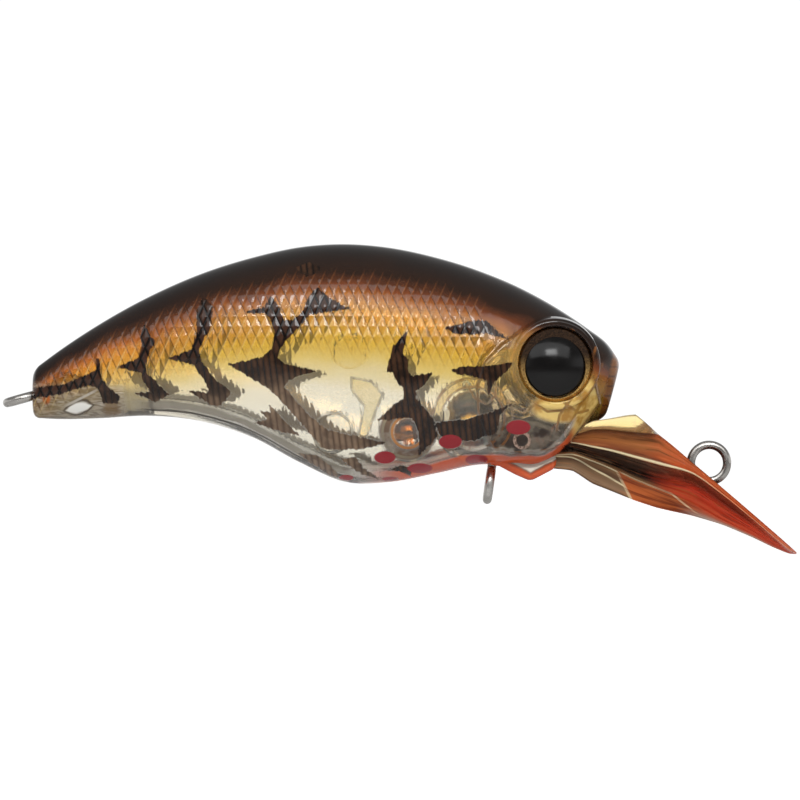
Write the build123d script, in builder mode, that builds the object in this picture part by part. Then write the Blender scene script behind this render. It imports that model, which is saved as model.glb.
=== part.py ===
"""Crankbait lure: a hollow two-piece body with a diving lip, wire eyes, fixed ballast and rattle balls.

Frame: origin at the centre of the line-tie eye, +X forward (towards the head), +Z up (towards the
back), the body's parting plane is Y = 0. Millimetres.
"""

import os
from math import cos, pi, radians, sin, sqrt

from build123d import *

# ---- driving dimensions -------------------------------------------------------------------------
WALL = 1.15                 # shell wall of the body halves
WIRE_RADIUS = 0.385         # stainless wire of the line tie and both hangers
SHANK_RATIO = 0.97          # a shank is drawn a little thinner than the eye that it runs into
POCKET_GAP = 0.03           # room round a piece that sits in a moulded pocket

# Body sections, tail to nose: top point, bottom point (x, z) and half width there.
BODY_SECTIONS = [
    ((-56.33, 7.75), (-56.33, 3.75), 1.6),
    ((-54.1, 9.4), (-54.1, 3.65), 2.3),
    ((-50.75, 11.6), (-50.75, 3.72), 3.15),
    ((-46.6, 13.9), (-46.6, 3.92), 4.15),
    ((-42.0, 15.9), (-42.0, 3.4), 5.1),
    ((-37.8, 17.2), (-37.8, 2.0), 5.9),
    ((-34.1, 18.0), (-34.1, 0.0), 6.4),
    ((-30.3, 18.25), (-30.3, -1.6), 6.7),
    ((-26.6, 17.95), (-26.6, -1.6), 6.8),
    ((-22.8, 17.15), (-22.8, -0.9), 6.75),
    ((-19.1, 16.0), (-19.1, -0.15), 6.6),
    ((-15.75, 14.6), (-16.4, -0.25), 6.3),
    ((-12.4, 12.75), (-14.1, -0.2), 5.8),
    ((-10.1, 11.2), (-12.3, 0.9), 5.0),
    ((-8.6, 10.05), (-10.85, 2.7), 3.9),
    ((-7.42, 8.4), (-8.63, 3.85), 2.3),
]
SECTION_POINTS = 12         # points round each section
SECTION_FULLNESS = 0.88     # below 1 makes a section fuller than an ellipse
CAVITY_FIRST = 3            # the hollow runs from this section ...
CAVITY_LAST = 14            # ... to the one before this; the tail block and the nose are solid

CHIN_OUTLINE = [(-18.6, 0.8), (-18.4, -0.1), (-17.5, -0.25), (-16.25, -0.92), (-14.92, -1.5),
                (-14.1, -1.08), (-12.8, -0.4), (-12.7, 0.8)]
CHIN_HALF_WIDTH = 2.0
CHIN_ROUND = 0.6
END_ROUND = 0.6             # round of the tail's end face
NOSE_ROUND = 0.4            # round of the nose's front face
REACH = 8.0                 # further out than the body's half width

EYE_CENTRE = (-13.0, 5.5, 8.2)
EYE_YAW = 8.0               # degrees that each eye looks forward
BROW_RADIUS = 3.75
BROW_HEIGHT = 0.6
BROW_DEPTH = 3.0
BROW_ROUND = 0.35
SOCKET_DEPTH = 0.5
EYE_RING_RADIUS = 3.1
EYE_RING_HEIGHT = 0.85
EYE_RING_BEVEL = 0.2
PUPIL_RADIUS = 2.5
PUPIL_DROP = 0.3            # the pupil sits this much below the middle of its ring
PUPIL_HEIGHT = 1.65
PUPIL_CURVE = 4.1           # radius of the pupil's domed face

CHAMBER_CENTRE = (-19.75, 3.75)
CHAMBER_OUTER = 3.3
CHAMBER_INNER = 2.6
CHAMBER_BALL = 2.38         # a 3/16 inch steel ball
CHAMBER_HALF_LENGTH = 5.0

POCKET_CENTRE = (-25.1, 2.6)
POCKET_OUTER = 2.1
POCKET_INNER = 1.3
RATTLE_BALL = 1.19          # a 3/32 inch brass ball
POCKET_HALF_LENGTH = 4.2
BORE_WALL = 0.6             # least plastic between the end of a ball's bore and the skin

PIN_RADIUS = 0.75
PIN_FIT = 0.05              # radial room of a pin in its socket
POST_RADIUS = 1.6
POST_PLACES = [(-29.9, 9.4), (-31.3, 2.6)]
TAIL_PIN = (-49.3, 5.6)
THROAT_PIN = (-15.67, 1.92)
THROAT_BOSS_RADIUS = 1.3
# Each alignment pin: its place, how deep its root is in the right half, how far it enters the left.
PINS = [
    (TAIL_PIN, 1.0, 1.3),
    (POST_PLACES[0], 1.0, 1.6),
    (POST_PLACES[1], 1.0, 1.6),
    (THROAT_PIN, 3.9, 4.1),
]

RIB_OUTLINE = [(-29.75, 7.1), (-28.1, 6.75), (-27.2, 5.7), (-27.75, 4.4), (-28.6, 1.9),
               (-29.25, 1.9), (-28.7, 4.8), (-29.75, 6.1)]
GILL_REAR_EDGE = [(-15.5, 11.1), (-17.4, 9.8), (-18.75, 8.4), (-19.4, 6.5), (-19.3, 4.3),
                  (-18.75, 2.6), (-18.0, 1.3)]
GILL_FRONT_EDGE = [(-16.2, 0.9), (-13.7, 1.1), (-13.0, 8.2)]
GILL_RISE = 0.25

BALLAST_OUTLINE = [(-16.75, 0.4), (-16.3, 4.0), (-12.5, 4.2), (-12.5, 2.35), (-14.5, 2.35),
                   (-14.5, 0.4)]
BALLAST_HALF_WIDTH = 2.8
BALLAST_INSET = 0.7         # least shell thickness left outside the throat weight

MOULD_GAP = 0.02            # room round a wire that is moulded in
LIP_SLOPE = radians(40.3)   # the front face drops forward at this angle
LINE_TIE_PLANE = Plane.XZ
LINE_TIE_RING = 1.483       # middle radius of the line-tie eye
LINE_TIE_BORE = 1.16        # its inside is flattened on a mandrel to this radius
LINE_TIE_SINK = 0.75        # straight run of the shank below the eye
LINE_TIE_ROUTE = [(-11.6, 0.72), (-12.6, 1.45), (-13.7, 0.95)]
LINE_TIE_BEND = 0.5
HANGER_RING = 1.245         # middle radius of both hook eyes
HANGER_BORE = 0.93
BELLY_HANGER_TIP = (-18.54, -3.42)
BELLY_HANGER_WAY = (-0.139, -0.99)
BELLY_RISE = 0.9            # straight run of the shank above the belly eye
BELLY_CROSS_BAR = (-17.35, 0.5)
BELLY_BEND = 0.45
CROSS_BAR_HALF = 1.8
TAIL_HANGER_TIP = (-58.83, 4.92)
TAIL_HANGER_WAY = (-0.963, -0.27)
TAIL_KNEE = (-55.2, 5.95)
TAIL_BEND = 1.0
TAIL_ANCHOR = (-53.2, 5.9)

# Lip sections, neck to tip: x, then (half width, z) of the top edge, upper ridge, rim, valley,
# keel shoulder and keel bottom on one side.
LIP_SECTIONS = [
    (-13.0, [(1.0, 2.1), (1.5, 1.95), (1.8, 1.6), (1.2, 1.1), (1.85, 0.7), (1.4, -0.45)]),
    (-11.4, [(1.1, 2.7), (1.7, 2.3), (2.0, 1.7), (1.2, 1.2), (1.9, 0.75), (1.4, -0.65)]),
    (-9.75, [(2.2, 3.5), (2.5, 2.8), (2.8, 1.35), (1.3, 0.7), (1.95, 0.2), (1.35, -1.7)]),
    (-8.5, [(2.7, 3.7), (3.2, 2.8), (3.5, 1.1), (1.4, 0.3), (2.0, -0.3), (1.35, -2.2)]),
    (-6.25, [(3.9, 4.05), (4.7, 2.55), (4.9, 0.5), (1.7, -0.6), (2.1, -1.4), (1.3, -3.1)]),
    (-4.42, [(3.3, 2.5), (5.1, 2.4), (5.7, 0.0), (2.0, -1.2), (2.2, -2.15), (1.25, -3.7)]),
    (-1.58, [(3.0, 0.09), (6.1, 0.04), (6.35, -0.8), (2.2, -1.9), (2.1, -3.3), (1.15, -4.35)]),
    (1.08, [(2.6, -2.17), (6.3, -2.22), (6.45, -2.7), (2.0, -3.65), (1.7, -4.75), (1.0, -5.15)]),
    (3.58, [(2.0, -4.29), (5.5, -4.34), (5.6, -4.75), (1.7, -5.3), (1.3, -5.95), (0.8, -6.2)]),
    (5.5, [(1.3, -5.92), (3.9, -5.96), (3.95, -6.35), (1.3, -6.65), (0.9, -7.0), (0.6, -7.1)]),
    (6.67, [(0.8, -6.91), (2.2, -6.94), (2.2, -7.25), (0.9, -7.4), (0.6, -7.5), (0.4, -7.55)]),
    (7.25, [(0.3, -7.4), (0.8, -7.42), (0.8, -7.52), (0.5, -7.55), (0.35, -7.58), (0.2, -7.6)]),
]
TONGUE_OUTLINE = [(-11.7, 1.9), (-11.7, 0.4), (-14.2, 0.4), (-14.2, 2.1), (-13.0, 2.1)]
TONGUE_HALF_WIDTH = 1.3


# ---- body shape ---------------------------------------------------------------------------------
def section_plane(top, bottom):
    """Plane of one body section: local x runs across the body, local y from bottom to top."""
    height = sqrt((top[0] - bottom[0]) ** 2 + (top[1] - bottom[1]) ** 2)
    up = ((top[0] - bottom[0]) / height, (top[1] - bottom[1]) / height)
    middle = ((top[0] + bottom[0]) / 2, 0, (top[1] + bottom[1]) / 2)
    return Plane(origin=middle, x_dir=(0, 1, 0), z_dir=(up[1], 0, -up[0])), height / 2


def section_points(half_width, half_height):
    """Points of a full, egg-like closed outline, starting at its top."""
    points = []
    for index in range(SECTION_POINTS):
        angle = 2 * pi * index / SECTION_POINTS
        across = abs(sin(angle)) ** SECTION_FULLNESS
        points.append((half_width * across * (1 if sin(angle) > 0 else -1), half_height * cos(angle)))
    return points


def body_solid(inset, first, last):
    """The body's smooth form, drawn in by inset, from one section to another."""
    with BuildPart() as solid:
        for top, bottom, half_width in BODY_SECTIONS[first:last]:
            plane, half_height = section_plane(top, bottom)
            with BuildSketch(plane):
                with BuildLine():
                    Spline(*section_points(half_width - inset, half_height - inset), periodic=True)
                make_face()
        loft()
    return solid.part


def side_plate(outline, half_width, grow=0.0):
    """A side-view outline of (x, z) points, half_width thick each way from Y = 0, grown all round."""
    with BuildPart() as plate:
        with BuildSketch(Plane.XZ):
            with BuildLine():
                Polyline(*outline, close=True)
            make_face()
            if grow:
                offset(amount=grow, kind=Kind.INTERSECTION)
        extrude(amount=half_width + grow, both=True)
    return plate.part


def cross_cylinder(centre, radius, low, high):
    """A cylinder along Y between two Y values, centred on (x, z)."""
    with BuildPart() as cylinder:
        with BuildSketch(Plane.XZ.offset(-low)):
            with Locations(centre):
                Circle(radius)
        extrude(amount=-(high - low))
    return cylinder.part


def gill_plate():
    """The raised gill covers on both sides: the body's form drawn out, cut to the covers' outline."""
    with BuildPart() as plate:
        add(body_solid(-GILL_RISE, 9, 15))
        with BuildSketch(Plane.XZ):
            with BuildLine():
                Spline(*GILL_REAR_EDGE)
                Polyline(GILL_REAR_EDGE[-1], *GILL_FRONT_EDGE, GILL_REAR_EDGE[0])
            make_face()
        extrude(amount=REACH, both=True, mode=Mode.INTERSECT)
    return plate.part


def eye_plane(side):
    """Plane at the floor line of an eye socket, facing out of the head; side is -1 right, 1 left."""
    yaw = radians(EYE_YAW)
    return Plane(
        origin=(EYE_CENTRE[0], side * EYE_CENTRE[1], EYE_CENTRE[2]),
        x_dir=(0, 0, 1),
        z_dir=(sin(yaw), side * cos(yaw), 0),
    )


def inner_mouldings():
    """Chambers, posts and ribs that span the hollow, trimmed to stay inside the shell."""
    with BuildPart() as mouldings:
        add(cross_cylinder(CHAMBER_CENTRE, CHAMBER_OUTER, -REACH, REACH))
        add(cross_cylinder(POCKET_CENTRE, POCKET_OUTER, -REACH, REACH))
        for place in POST_PLACES:
            add(cross_cylinder(place, POST_RADIUS, -REACH, REACH))
        add(cross_cylinder(THROAT_PIN, THROAT_BOSS_RADIUS, -REACH, REACH))
        add(side_plate(RIB_OUTLINE, REACH))
        add(body_solid(WALL / 2, 1, 15), mode=Mode.INTERSECT)
    return mouldings.part


def ball_bores():
    """The bores that the two balls slide along, with their ends kept inside the skin."""
    with BuildPart() as bores:
        length = CHAMBER_HALF_LENGTH
        add(cross_cylinder(CHAMBER_CENTRE, CHAMBER_INNER, -length, length))
        length = POCKET_HALF_LENGTH
        add(cross_cylinder(POCKET_CENTRE, POCKET_INNER, -length, length))
        add(body_solid(BORE_WALL, 1, 15), mode=Mode.INTERSECT)
    return bores.part


def chin():
    """The keel under the jaw, rounded along its lower edges."""
    with BuildPart() as keel:
        add(side_plate(CHIN_OUTLINE, CHIN_HALF_WIDTH))
        fillet(keel.edges().filter_by(Axis.Y, reverse=True).group_by(Axis.Z)[0], CHIN_ROUND)
    return keel.part


def whole_form():
    """The outside of the closed body, solid, before it is hollowed and split."""
    with BuildPart() as form:
        add(body_solid(0, 0, len(BODY_SECTIONS)))
        fillet(form.faces().sort_by(Axis.X)[0].edges(), END_ROUND)
        fillet(form.faces().sort_by(Axis.X)[-1].edges(), NOSE_ROUND)
        add(gill_plate())
        add(chin())
        for side in (-1, 1):
            add(brow(side))
    return form.part


def ballast(grow):
    """The throat weight, whose flanks follow the shell's inside, or with grow the pocket for it."""
    with BuildPart() as weight:
        add(body_solid(BALLAST_INSET - grow, 9, 15))
        add(side_plate(BALLAST_OUTLINE, BALLAST_HALF_WIDTH, grow), mode=Mode.INTERSECT)
    return weight.part


def brow(side):
    """The raised ring of the head round one eye."""
    with BuildPart() as boss:
        with BuildSketch(eye_plane(side).offset(BROW_HEIGHT)):
            Circle(BROW_RADIUS)
        extrude(amount=-BROW_DEPTH)
        outer_face = boss.faces().filter_by(GeomType.PLANE).sort_by(Axis.Y)[0 if side < 0 else -1]
        fillet(outer_face.edges(), BROW_ROUND)
    return boss.part


# ---- wires --------------------------------------------------------------------------------------
def wire_run(points, bend, wire_radius):
    """Shank along (x, z) points in the plane Y = 0, with arcs of one bend radius."""
    with BuildPart() as run:
        with BuildLine(Plane.XZ) as path:
            FilletPolyline(*points, radius=bend)
        with BuildSketch(Plane(origin=path.line @ 0, z_dir=path.line % 0)):
            Circle(SHANK_RATIO * wire_radius)
        sweep()
    return run.part


def wire_ring(plane, ring_radius, wire_radius):
    """A closed round eye of wire, flat in the given plane."""
    with BuildPart() as ring:
        with Locations(plane):
            Torus(ring_radius, wire_radius)
    return ring.part


def ring_bore(plane, bore_radius):
    """The mandrel that flattens the inside of a wire eye."""
    with BuildPart() as bore:
        with BuildSketch(plane):
            Circle(bore_radius)
        extrude(amount=2 * WIRE_RADIUS, both=True)
    return bore.part


def hanger_plane(tip, direction):
    """Plane of a hook eye that spans the lure's width; its outermost point is tip."""
    reach = HANGER_RING + WIRE_RADIUS
    centre = (tip[0] - reach * direction[0], 0, tip[1] - reach * direction[1])
    return Plane(origin=centre, x_dir=(0, 1, 0), z_dir=(direction[1], 0, -direction[0]))


BELLY_HANGER_PLANE = hanger_plane(BELLY_HANGER_TIP, BELLY_HANGER_WAY)
TAIL_HANGER_PLANE = hanger_plane(TAIL_HANGER_TIP, TAIL_HANGER_WAY)


def toward(plane, direction, distance):
    """The (x, z) point at a distance from a plane's origin along an (x, z) direction."""
    return (plane.origin.X + distance * direction[0], plane.origin.Z + distance * direction[1])


def line_tie(wire_radius):
    """Line-tie eye and its shank, which runs back through the lip to a kinked end in the tongue."""
    down = (-sin(LIP_SLOPE), -cos(LIP_SLOPE))
    entry = (LINE_TIE_RING * down[0], LINE_TIE_RING * down[1])
    elbow = (entry[0] + LINE_TIE_SINK * down[0], entry[1] + LINE_TIE_SINK * down[1])
    with BuildPart() as wire:
        add(wire_ring(LINE_TIE_PLANE, LINE_TIE_RING, wire_radius))
        add(wire_run([entry, elbow, *LINE_TIE_ROUTE], LINE_TIE_BEND, wire_radius))
    return wire.part


def belly_hanger(wire_radius):
    """Belly hook eye, its shank and the cross bar that keeps it in the body."""
    start = toward(BELLY_HANGER_PLANE, BELLY_HANGER_WAY, -HANGER_RING)
    knee = toward(BELLY_HANGER_PLANE, BELLY_HANGER_WAY, -HANGER_RING - BELLY_RISE)
    with BuildPart() as wire:
        add(wire_ring(BELLY_HANGER_PLANE, HANGER_RING, wire_radius))
        add(wire_run([start, knee, BELLY_CROSS_BAR], BELLY_BEND, wire_radius))
        add(cross_cylinder(BELLY_CROSS_BAR, wire_radius, -CROSS_BAR_HALF, CROSS_BAR_HALF))
    return wire.part


def tail_hanger(wire_radius):
    """Tail hook eye, its shank and the inner eye that sits on a moulded pin."""
    start = toward(TAIL_HANGER_PLANE, TAIL_HANGER_WAY, -HANGER_RING)
    end = (TAIL_ANCHOR[0] - HANGER_RING, TAIL_ANCHOR[1])
    anchor_plane = Plane(origin=(TAIL_ANCHOR[0], 0, TAIL_ANCHOR[1]), x_dir=(1, 0, 0), z_dir=(0, -1, 0))
    with BuildPart() as wire:
        add(wire_ring(TAIL_HANGER_PLANE, HANGER_RING, wire_radius))
        add(wire_run([start, TAIL_KNEE, end], TAIL_BEND, wire_radius))
        add(wire_ring(anchor_plane, HANGER_RING, wire_radius))
    return wire.part


def finished_wire(wire, label, plane, bore_radius):
    """The wire with the inside of its outer eye flattened, written as one piece."""
    with BuildPart() as piece:
        add(wire)
        add(ring_bore(plane, bore_radius), mode=Mode.SUBTRACT)
    write(piece.part, label)
    return piece.part


def write(solid, label):
    """Label a finished piece and write its STEP file."""
    solid.label = label
    export_step(solid, f"parts/{label}.step")


# ---- pieces -------------------------------------------------------------------------------------
os.makedirs("parts", exist_ok=True)

form = whole_form()
hollow = body_solid(WALL, CAVITY_FIRST, CAVITY_LAST)
mouldings = inner_mouldings()
bores = ball_bores()

with BuildPart() as diving_lip:
    for x, one_side in LIP_SECTIONS:
        other_side = [(-half_width, z) for half_width, z in reversed(one_side)]
        with BuildSketch(Plane.YZ.offset(x)):
            with BuildLine():
                Polyline(*one_side, *other_side, close=True)
            make_face()
    loft(ruled=True)
    add(form, mode=Mode.SUBTRACT)
    add(side_plate(TONGUE_OUTLINE, TONGUE_HALF_WIDTH))
    add(line_tie(WIRE_RADIUS + MOULD_GAP), mode=Mode.SUBTRACT)
write(diving_lip.part, "diving_lip")

finished_wire(line_tie(WIRE_RADIUS), "line_tie_wire", LINE_TIE_PLANE, LINE_TIE_BORE)
finished_wire(belly_hanger(WIRE_RADIUS), "belly_hook_hanger", BELLY_HANGER_PLANE, HANGER_BORE)
finished_wire(tail_hanger(WIRE_RADIUS), "tail_hook_hanger", TAIL_HANGER_PLANE, HANGER_BORE)

for name, side in (("body_half_right", -1), ("body_half_left", 1)):
    with BuildPart() as half:
        add(form)
        add(hollow, mode=Mode.SUBTRACT)
        add(mouldings)
        add(bores, mode=Mode.SUBTRACT)
        with BuildSketch(eye_plane(side).offset(-SOCKET_DEPTH)):
            Circle(EYE_RING_RADIUS + POCKET_GAP)
        extrude(amount=SOCKET_DEPTH + 2 * BROW_HEIGHT, mode=Mode.SUBTRACT)
        add(ballast(POCKET_GAP), mode=Mode.SUBTRACT)
        add(side_plate(TONGUE_OUTLINE, TONGUE_HALF_WIDTH, POCKET_GAP), mode=Mode.SUBTRACT)
        for wire in (line_tie, belly_hanger, tail_hanger):
            add(wire(WIRE_RADIUS + POCKET_GAP), mode=Mode.SUBTRACT)
        split(bisect_by=Plane.XZ, keep=Keep.TOP if side < 0 else Keep.BOTTOM)
        for place, root, length in PINS:
            if side < 0:
                add(cross_cylinder(place, PIN_RADIUS, -root, length))
            else:
                socket = cross_cylinder(place, PIN_RADIUS + PIN_FIT, 0, length + PIN_FIT)
                add(socket, mode=Mode.SUBTRACT)
    write(half.part, name)

with BuildPart() as throat_ballast:
    add(ballast(0))
    add(cross_cylinder(THROAT_PIN, PIN_RADIUS + PIN_FIT, -REACH, REACH), mode=Mode.SUBTRACT)
write(throat_ballast.part, "throat_ballast")

for name, side in (("right", -1), ("left", 1)):
    floor = eye_plane(side).offset(-SOCKET_DEPTH)
    pupil_floor = Plane(floor.origin - PUPIL_DROP * floor.x_dir, floor.x_dir, floor.z_dir)
    with BuildPart() as eye_ring:
        with BuildSketch(floor):
            Circle(EYE_RING_RADIUS)
            with Locations((-PUPIL_DROP, 0)):
                Circle(PUPIL_RADIUS + POCKET_GAP, mode=Mode.SUBTRACT)
        extrude(amount=EYE_RING_HEIGHT)
        face = eye_ring.faces().filter_by(GeomType.PLANE).sort_by(Axis.Y)[0 if side < 0 else -1]
        chamfer(face.outer_wire().edges(), EYE_RING_BEVEL)
    write(eye_ring.part, f"{name}_eye_ring")
    with BuildPart() as eye_dome:
        with BuildSketch(pupil_floor):
            Circle(PUPIL_RADIUS)
        extrude(amount=PUPIL_HEIGHT)
        with Locations(pupil_floor.offset(PUPIL_HEIGHT - PUPIL_CURVE)):
            Sphere(PUPIL_CURVE, mode=Mode.INTERSECT)
    write(eye_dome.part, f"{name}_eye_dome")

for name, centre, radius in (
    ("chamber_ball", CHAMBER_CENTRE, CHAMBER_BALL),
    ("belly_rattle_ball", POCKET_CENTRE, RATTLE_BALL),
):
    with BuildPart() as ball:
        with Locations((centre[0], 0, centre[1])):
            Sphere(radius)
    write(ball.part, name)
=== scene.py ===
"""Looks of the crankbait lure: clear candy-painted shells, faceted lip, eyes, wires, rattles and stage."""

import math

import bmesh
import bpy
import numpy as np
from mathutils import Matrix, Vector
from mathutils.bvhtree import BVHTree


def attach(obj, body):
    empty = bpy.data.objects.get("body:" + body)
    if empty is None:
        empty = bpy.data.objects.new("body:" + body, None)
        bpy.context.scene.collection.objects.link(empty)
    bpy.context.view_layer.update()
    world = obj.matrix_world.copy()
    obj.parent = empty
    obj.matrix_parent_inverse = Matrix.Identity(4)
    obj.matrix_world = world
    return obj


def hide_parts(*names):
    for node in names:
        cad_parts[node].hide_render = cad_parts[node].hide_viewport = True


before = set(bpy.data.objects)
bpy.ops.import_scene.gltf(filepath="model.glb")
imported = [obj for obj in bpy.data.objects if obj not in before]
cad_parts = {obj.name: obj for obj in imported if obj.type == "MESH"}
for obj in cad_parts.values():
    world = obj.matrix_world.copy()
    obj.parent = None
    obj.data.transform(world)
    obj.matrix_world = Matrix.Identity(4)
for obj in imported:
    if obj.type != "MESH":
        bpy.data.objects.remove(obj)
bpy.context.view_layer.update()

MM = 0.001

# ---- body form, in millimetres, as in the CAD: top (x, z), bottom (x, z), half width ---------------
BODY_SECTIONS = [
    ((-56.33, 7.75), (-56.33, 3.75), 1.6),
    ((-54.1, 9.4), (-54.1, 3.65), 2.3),
    ((-50.75, 11.6), (-50.75, 3.72), 3.15),
    ((-46.6, 13.9), (-46.6, 3.92), 4.15),
    ((-42.0, 15.9), (-42.0, 3.4), 5.1),
    ((-37.8, 17.2), (-37.8, 2.0), 5.9),
    ((-34.1, 18.0), (-34.1, 0.0), 6.4),
    ((-30.3, 18.25), (-30.3, -1.6), 6.7),
    ((-26.6, 17.95), (-26.6, -1.6), 6.8),
    ((-22.8, 17.15), (-22.8, -0.9), 6.75),
    ((-19.1, 16.0), (-19.1, -0.15), 6.6),
    ((-15.75, 14.6), (-16.4, -0.25), 6.3),
    ((-12.4, 12.75), (-14.1, -0.2), 5.8),
    ((-10.1, 11.2), (-12.3, 0.9), 5.0),
    ((-8.6, 10.05), (-10.85, 2.7), 3.9),
    ((-7.42, 8.4), (-8.63, 3.85), 2.3),
]
FULLNESS = 0.88
WALL = 1.15
HOLLOW_FIRST = 3
HOLLOW_LAST = 14
TAIL_ROUND = 0.6
NOSE_ROUND = 0.4
CHIN_OUTLINE = [(-18.6, 0.8), (-18.4, -0.1), (-17.5, -0.25), (-16.25, -0.92), (-14.92, -1.5),
                (-14.1, -1.08), (-12.8, -0.4), (-12.7, 0.8)]
GILL_OUTLINE = [(-15.5, 11.1), (-17.4, 9.8), (-18.75, 8.4), (-19.4, 6.5), (-19.3, 4.3), (-18.75, 2.6),
                (-18.0, 1.3), (-16.2, 0.9), (-13.7, 1.1), (-11.5, 1.8), (-9.2, 5.0), (-10.0, 8.2),
                (-11.5, 11.0)]
EYE_CENTRE = (-13.0, 5.5, 8.2)
EYE_YAW = math.radians(8.0)
PUPIL_RADIUS = 2.5
PUPIL_HEIGHT = 1.65
PUPIL_CURVE = 4.1
SOCKET_DEPTH = 0.5
PUPIL_DROP = 0.18
CHAMBER = (-19.75, 3.75)
CHAMBER_OUTER = 3.3
CHAMBER_INNER = 2.6
POCKET = (-25.1, 2.6)
POCKET_OUTER = 2.1
POCKET_INNER = 1.3
POCKET_HALF_LENGTH = 4.2
BORES = [(CHAMBER, CHAMBER_INNER, 5.0), (POCKET, POCKET_INNER, POCKET_HALF_LENGTH)]
BORE_WALL = 0.6
POSTS = [(-29.9, 9.4), (-31.3, 2.6)]
POST_RADIUS = 1.6
THROAT_PIN = (-15.67, 1.92)
RIB_OUTLINE = [(-29.75, 7.1), (-28.1, 6.75), (-27.2, 5.7), (-27.75, 4.4), (-28.6, 1.9),
               (-29.25, 1.9), (-28.7, 4.8), (-29.75, 6.1)]

# Stencilled dark marks, (x, z).
MARKS = [
    [(-50.9, 8.7), (-50.6, 8.5), (-50.5, 6.9), (-49.8, 6.2), (-49.0, 5.5), (-49.2, 5.0), (-50.3, 5.0),
     (-50.8, 6.3), (-51.5, 6.5), (-54.2, 5.7), (-56.3, 5.4), (-56.1, 6.2), (-53.6, 6.5), (-52.2, 7.1),
     (-51.4, 7.4), (-50.9, 7.8)],
    [(-47.1, 10.8), (-46.9, 11.4), (-46.4, 10.5), (-46.0, 10.1), (-46.6, 8.9), (-46.8, 8.3),
     (-46.7, 7.5), (-46.0, 6.8), (-44.9, 5.7), (-46.0, 5.1), (-47.6, 5.8), (-46.3, 5.9), (-46.8, 6.5),
     (-47.2, 7.5), (-49.0, 8.0), (-47.3, 8.7), (-47.1, 9.6)],
    [(-42.5, 12.6), (-42.0, 13.7), (-41.3, 13.0), (-41.4, 11.1), (-42.0, 10.2), (-42.4, 9.4),
     (-42.1, 8.4), (-41.3, 7.2), (-39.7, 5.9), (-40.6, 4.8), (-41.3, 4.8), (-43.2, 6.0), (-41.5, 5.8),
     (-41.7, 6.5), (-42.7, 8.2), (-44.8, 8.7), (-42.9, 9.4), (-42.7, 10.2), (-42.5, 11.1)],
    [(-38.4, 12.5), (-36.9, 12.9), (-36.4, 13.8), (-35.8, 13.0), (-35.3, 11.8), (-34.6, 11.8),
     (-33.8, 12.4), (-33.2, 13.8), (-32.6, 14.5), (-31.7, 13.7), (-30.0, 12.8), (-33.2, 12.3),
     (-34.1, 11.2), (-35.0, 10.3), (-35.7, 9.4), (-35.8, 8.7), (-35.2, 8.2), (-32.6, 7.6),
     (-34.0, 7.3), (-35.0, 6.8), (-35.3, 6.3), (-33.2, 3.9), (-31.6, 2.7), (-29.1, 2.2), (-27.0, 1.7),
     (-29.1, 1.2), (-32.0, 1.2), (-34.1, 3.6), (-35.6, 5.3), (-36.5, 6.2), (-39.0, 7.7), (-39.8, 8.2),
     (-37.2, 8.7), (-36.3, 9.4), (-36.0, 10.8), (-36.3, 11.7), (-36.8, 12.4)],
    [(-36.5, 4.8), (-35.8, 4.1), (-34.2, 2.4), (-35.8, 2.7), (-37.7, 3.4), (-36.6, 3.6), (-37.2, 4.3),
     (-36.4, 4.2)],
    [(-25.1, 11.0), (-25.4, 10.0), (-25.6, 9.1), (-25.1, 8.6), (-25.2, 7.8), (-24.9, 7.2),
     (-23.2, 7.4), (-23.8, 6.5), (-24.4, 6.0), (-24.4, 5.4), (-23.0, 3.6), (-22.7, 2.3), (-24.2, 0.7),
     (-24.1, 1.9), (-24.3, 3.0), (-24.8, 3.8), (-25.5, 3.8), (-27.5, 3.6), (-26.1, 5.0), (-25.4, 5.3),
     (-25.5, 6.3), (-26.1, 6.9), (-26.3, 7.5), (-26.8, 7.6), (-26.3, 9.6)],
    [(-22.0, 11.2), (-20.3, 11.6), (-19.3, 11.8), (-18.4, 11.6), (-17.8, 10.9), (-16.9, 10.3),
     (-18.8, 10.8), (-19.7, 10.7), (-21.2, 10.7)],
    [(-21.4, 7.7), (-20.5, 8.0), (-18.8, 8.0), (-16.5, 8.3), (-17.1, 7.5), (-18.0, 6.8),
     (-18.5, 5.6), (-18.6, 6.9), (-20.0, 7.3), (-21.1, 7.4)],
    [(-22.9, 3.4), (-20.3, 3.6), (-18.1, 4.3), (-16.4, 5.0), (-17.5, 4.1), (-17.8, 2.6),
     (-19.7, 1.9), (-20.5, 1.9), (-22.4, 2.3)],
    [(-34.1, 0.8), (-32.6, 0.6), (-31.6, -0.2), (-30.7, -1.2), (-31.6, -1.0)],
    [(-30.6, 0.4), (-29.4, 0.5), (-28.8, -0.4), (-27.5, -1.3), (-28.8, -0.9), (-29.9, -0.2)],
    [(-26.6, -0.5), (-25.8, -0.2), (-24.8, -0.3), (-24.9, -1.0), (-25.8, -0.6)],
    [(-34.3, 16.2), (-33.3, 16.6), (-32.4, 16.2), (-32.8, 15.7), (-33.4, 15.5), (-33.9, 15.8)],
]
# Red spots along the throat and belly: centre (x, z), half length, half height.
RED_SPOTS = [
    (-27.0, 0.5, 0.92, 0.54), (-21.6, 1.8, 1.0, 0.6), (-24.1, -0.4, 1.07, 0.45),
    (-19.4, 0.3, 0.97, 0.45), (-16.0, 3.0, 1.04, 0.63), (-30.2, -1.2, 0.67, 0.27),
    (-26.6, -1.3, 0.74, 0.2),
]
FAR_SHIFT = (0.75, -0.2)       # the left side's stencil sits a little lower and forward
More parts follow.
